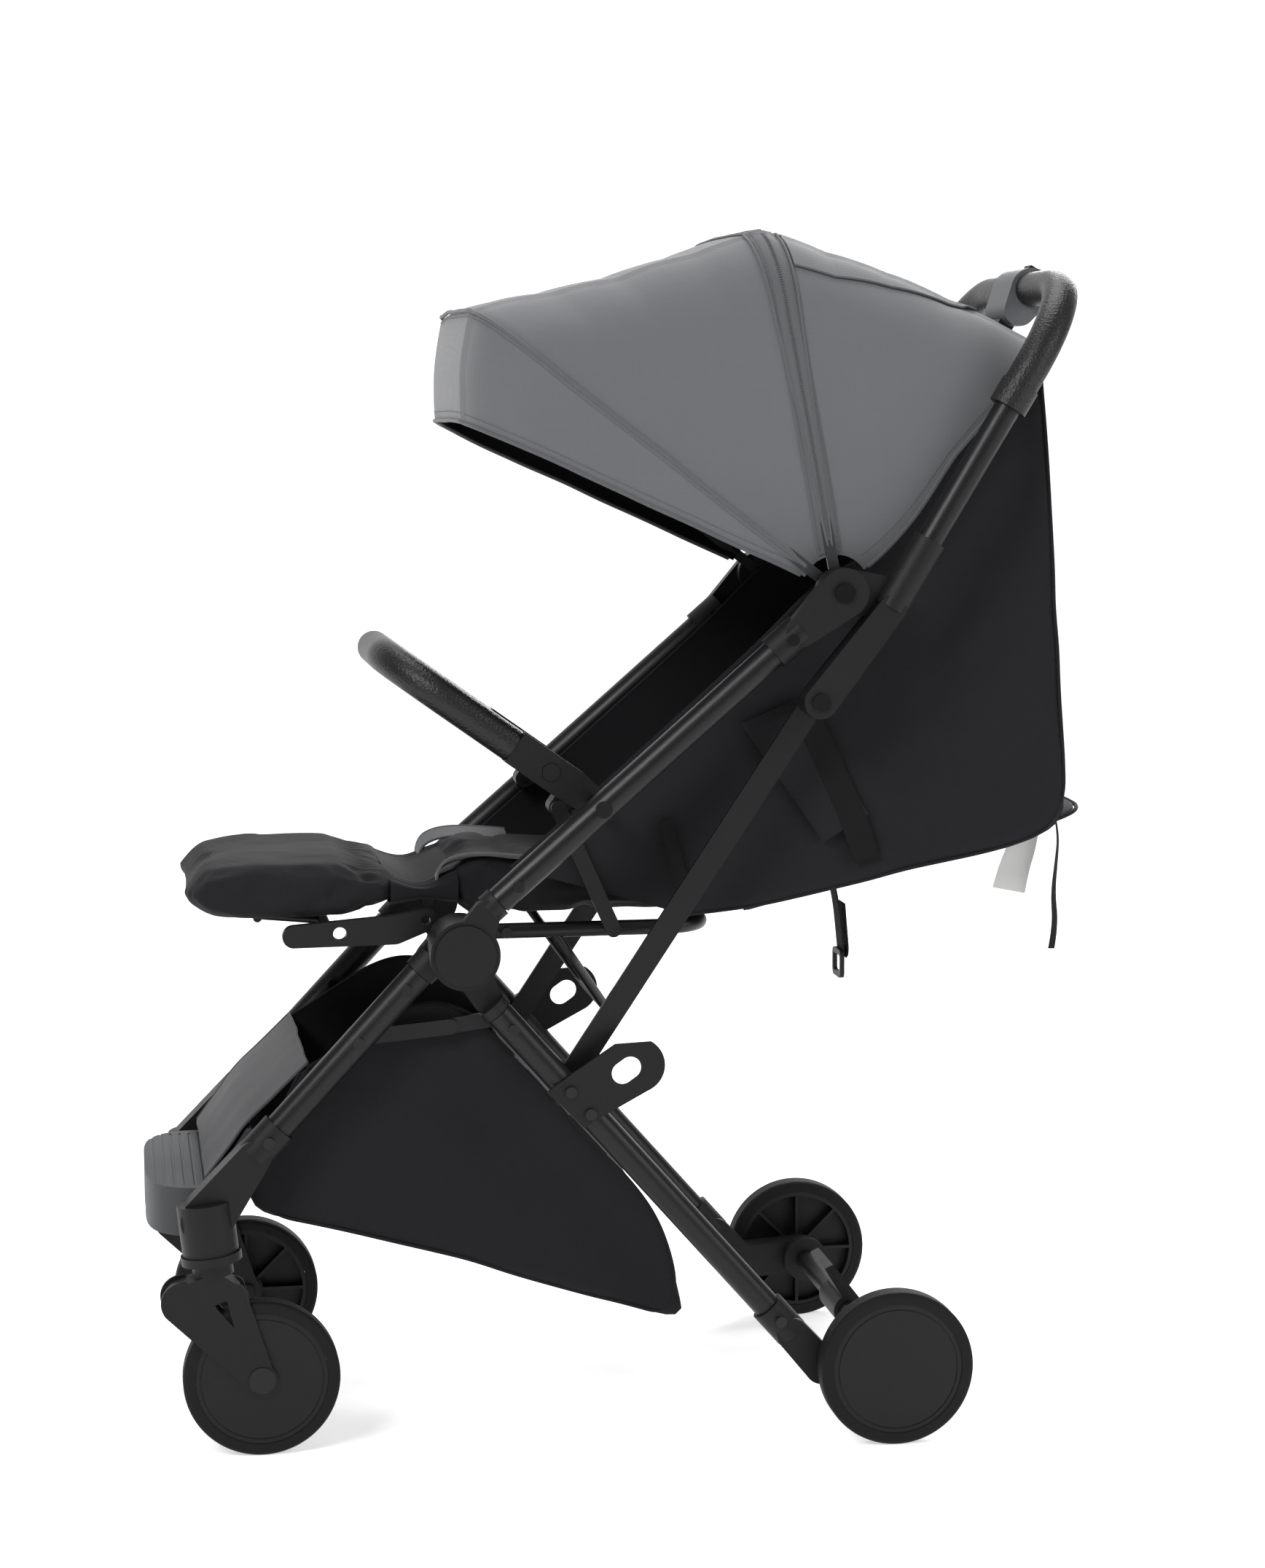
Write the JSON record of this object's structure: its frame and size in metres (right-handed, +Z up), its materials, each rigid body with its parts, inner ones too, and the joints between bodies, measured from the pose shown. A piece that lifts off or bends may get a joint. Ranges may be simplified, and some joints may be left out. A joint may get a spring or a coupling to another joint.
{
  "type": "folding baby stroller",
  "caption": "Compact folding baby stroller with swivelling front castors, padded seat, calf rest, bumper bar, zip-open canopy and under-seat basket.",
  "frame": {"origin": "centre of the overall box at floor level", "axes": "+X rearwards, +Y to the stroller's right, +Z up"},
  "size_m": [0.8682, 0.464, 1.0797],
  "materials": {
    "frame_black": "satin black powder coat",
    "moulded_black": "fine-textured moulded nylon",
    "wheel_black": "smooth moulded plastic",
    "tyre_rubber": "matt foam rubber",
    "rivet_black": "gloss black",
    "steel_dark": "dark steel",
    "grip_leather": "pebbled black leatherette",
    "grey_plastic": "grey moulded plastic",
    "canopy_grey": "plain woven polyester",
    "fabric_black": "black woven polyester",
    "webbing_black": "ribbed webbing"
  },
  "bodies": {
    "front_frame": {"left_front_leg": "frame_black", "right_front_leg": "frame_black", "front_castings": "moulded_black", "front_hub_sockets": "moulded_black", "footboard": "grey_plastic", "front_rivets": "rivet_black", "basket": "fabric_black"},
    "left_castor": {"left_castor_fork": "moulded_black", "left_castor_bolt": "rivet_black"},
    "right_castor": {"right_castor_fork": "moulded_black", "right_castor_bolt": "rivet_black"},
    "left_front_roller": {"left_front_tyre": "tyre_rubber", "left_front_wheel": "wheel_black"},
    "right_front_roller": {"right_front_tyre": "tyre_rubber", "right_front_wheel": "wheel_black"},
    "rear_frame": {"left_rear_leg": "frame_black", "right_rear_leg": "frame_black", "rear_hub_sockets": "moulded_black", "rear_castings": "moulded_black", "rear_axle": "frame_black", "lock_plates": "frame_black", "rear_rivets": "rivet_black"},
    "left_rear_roller": {"left_rear_tyre": "tyre_rubber", "left_rear_wheel": "wheel_black"},
    "right_rear_roller": {"right_rear_tyre": "tyre_rubber", "right_rear_wheel": "wheel_black"},
    "pedal": {"brake_pedal": "moulded_black"},
    "upper_frame": {"left_upper_tube": "frame_black", "right_upper_tube": "frame_black", "upper_hub_sockets": "moulded_black", "hub_caps": "moulded_black", "handle_sockets": "moulded_black", "upper_rivets": "rivet_black"},
    "handle": {"handle_tube": "frame_black", "handle_grip": "grip_leather", "release_housing": "grey_plastic", "handle_castings": "moulded_black", "handle_bolts": "rivet_black"},
    "trigger": {"release_trigger": "grey_plastic"},
    "button": {"safety_button": "moulded_black"},
    "links": {"link_bars": "frame_black"},
    "seat": {"seat_ring": "frame_black", "seat_pad": "fabric_black", "seat_shell": "fabric_black", "adjuster_strap": "webbing_black", "strap_ring": "moulded_black"},
    "backrest": {"backrest_pad": "fabric_black"},
    "calf": {"calf_pad": "fabric_black", "calf_frame": "frame_black"},
    "bumper": {"bumper_grip": "grip_leather", "bumper_connectors": "moulded_black"},
    "left_catch": {"left_bumper_button": "moulded_black"},
    "right_catch": {"right_bumper_button": "moulded_black"},
    "bumper_strut": {"bumper_links": "frame_black"},
    "knee_front": {"knee_front_links": "frame_black"},
    "knee_rear": {"knee_rear_links": "frame_black"},
    "front_hoop": {"canopy_front_bow": "steel_dark"},
    "middle_hoop": {"canopy_mid_bow": "steel_dark"},
    "canopy": {"canopy_cloth": "canopy_grey"}
  },
  "joints": [
    {"name": "fold", "type": "hinge", "parent": "front_frame", "child": "upper_frame", "pos_m": [-0.152, 0, 0.452], "axis": [0, 1, 0], "range_deg": [0, 130], "deforming": ["seat_pad", "seat_shell", "backrest_pad", "basket", "canopy_cloth", "adjuster_strap"]},
    {"name": "rear_leg_fold", "type": "hinge", "parent": "front_frame", "child": "rear_frame", "pos_m": [-0.152, 0, 0.452], "axis": [0, 1, 0], "range_deg": [0, 60.67]},
    {"name": "handle_fold", "type": "hinge", "parent": "upper_frame", "child": "handle", "pos_m": [0.18683, 0, 0.76642], "axis": [0, 1, 0], "range_deg": [-111, 0]},
    {"name": "link_swing", "type": "hinge", "parent": "handle", "child": "links", "pos_m": [0.166, 0, 0.6699], "axis": [0, 1, 0], "range_deg": [0, 121]},
    {"name": "seat_fold", "type": "hinge", "parent": "upper_frame", "child": "seat", "pos_m": [-0.114, 0, 0.464], "axis": [0, 1, 0], "range_deg": [-14.67, 0]},
    {"name": "bumper_fold", "type": "hinge", "parent": "upper_frame", "child": "bumper", "pos_m": [-0.02901, 0, 0.57879], "axis": [0, 1, 0], "range_deg": [0, 86.75]},
    {"name": "bumper_strut_swing", "type": "hinge", "parent": "bumper", "child": "bumper_strut", "pos_m": [-0.0603, 0, 0.5732], "axis": [0, 1, 0], "range_deg": [-38, 0]},
    {"name": "knee_front_swing", "type": "hinge", "parent": "front_frame", "child": "knee_front", "pos_m": [-0.24412, 0, 0.37112], "axis": [0, 1, 0], "range_deg": [0, 25.5]},
    {"name": "knee_rear_swing", "type": "hinge", "parent": "rear_frame", "child": "knee_rear", "pos_m": [-0.10995, 0, 0.38514], "axis": [0, 1, 0], "range_deg": [0, 33.83]},
    {"name": "front_hoop_fold", "type": "hinge", "parent": "handle", "child": "front_hoop", "pos_m": [0.18683, 0, 0.76642], "axis": [0, 1, 0], "range_deg": [0, 62.42]},
    {"name": "middle_hoop_fold", "type": "hinge", "parent": "handle", "child": "middle_hoop", "pos_m": [0.18683, 0, 0.76642], "axis": [0, 1, 0], "range_deg": [0, 36.17]},
    {"name": "backrest_recline", "type": "hinge", "parent": "seat", "child": "backrest", "pos_m": [0.08, 0, 0.505], "axis": [0, 1, 0], "range_deg": [-50, 0], "deforming": ["seat_pad", "seat_shell", "backrest_pad"]},
    {"name": "calf_rest", "type": "hinge", "parent": "seat", "child": "calf", "pos_m": [-0.18, 0, 0.474], "axis": [0, 1, 0], "range_deg": [-75, 0], "deforming": ["seat_pad", "basket"]},
    {"name": "canopy_close", "type": "hinge", "parent": "handle", "child": "canopy", "pos_m": [0.18683, 0, 0.76642], "axis": [0, 1, 0], "range_deg": [0, 36.17]},
    {"name": "left_castor_swivel", "type": "hinge", "parent": "front_frame", "child": "left_castor", "pos_m": [-0.379, -0.155, 0.204], "axis": [-0.1132, 0, 0.9936], "continuous": true},
    {"name": "left_front_wheel_spin", "type": "hinge", "parent": "left_castor", "child": "left_front_roller", "pos_m": [-0.3337, -0.155, 0.07], "axis": [0, 1, 0], "continuous": true},
    {"name": "left_rear_wheel_spin", "type": "hinge", "parent": "rear_frame", "child": "left_rear_roller", "pos_m": [0.232, -0.22, 0.07], "axis": [0, 1, 0], "continuous": true},
    {"name": "left_catch_press", "type": "slide", "parent": "bumper", "child": "left_catch", "axis": [0, 1, 0], "range_m": [0, 0.003], "stiffness_N_per_m": 600},
    {"name": "right_castor_swivel", "type": "hinge", "parent": "front_frame", "child": "right_castor", "pos_m": [-0.379, 0.155, 0.204], "axis": [-0.1132, 0, 0.9936], "continuous": true},
    {"name": "right_front_wheel_spin", "type": "hinge", "parent": "right_castor", "child": "right_front_roller", "pos_m": [-0.3337, 0.155, 0.07], "axis": [0, 1, 0], "continuous": true},
    {"name": "right_rear_wheel_spin", "type": "hinge", "parent": "rear_frame", "child": "right_rear_roller", "pos_m": [0.232, 0.22, 0.07], "axis": [0, 1, 0], "continuous": true},
    {"name": "right_catch_press", "type": "slide", "parent": "bumper", "child": "right_catch", "axis": [0, -1, 0], "range_m": [0, 0.003], "stiffness_N_per_m": 600},
    {"name": "brake", "type": "hinge", "parent": "rear_frame", "child": "pedal", "pos_m": [0.232, 0, 0.07], "axis": [0, 1, 0], "range_deg": [-25, 0]},
    {"name": "trigger_pull", "type": "slide", "parent": "handle", "child": "trigger", "axis": [0.515, 0, 0.8572], "range_m": [0, 0.006], "stiffness_N_per_m": 400},
    {"name": "safety_press", "type": "slide", "parent": "handle", "child": "button", "axis": [-0.515, 0, -0.8572], "range_m": [0, 0.002], "stiffness_N_per_m": 500}
  ],
  "couplings": [
    {"joint": "rear_leg_fold", "follows": "fold", "ratio": 0.46282},
    {"joint": "handle_fold", "follows": "fold", "ratio": -0.85},
    {"joint": "link_swing", "follows": "fold", "ratio": 0.92692},
    {"joint": "seat_fold", "follows": "fold", "ratio": -0.10897},
    {"joint": "bumper_fold", "follows": "fold", "ratio": 0.66346},
    {"joint": "bumper_strut_swing", "follows": "fold", "ratio": -0.28846},
    {"joint": "knee_front_swing", "follows": "fold", "ratio": 0.19231},
    {"joint": "knee_rear_swing", "follows": "fold", "ratio": 0.25641},
    {"joint": "front_hoop_fold", "follows": "fold", "ratio": 0.47628},
    {"joint": "middle_hoop_fold", "follows": "fold", "ratio": 0.27436},
    {"joint": "canopy_close", "follows": "fold", "ratio": 0.27436}
  ]
}
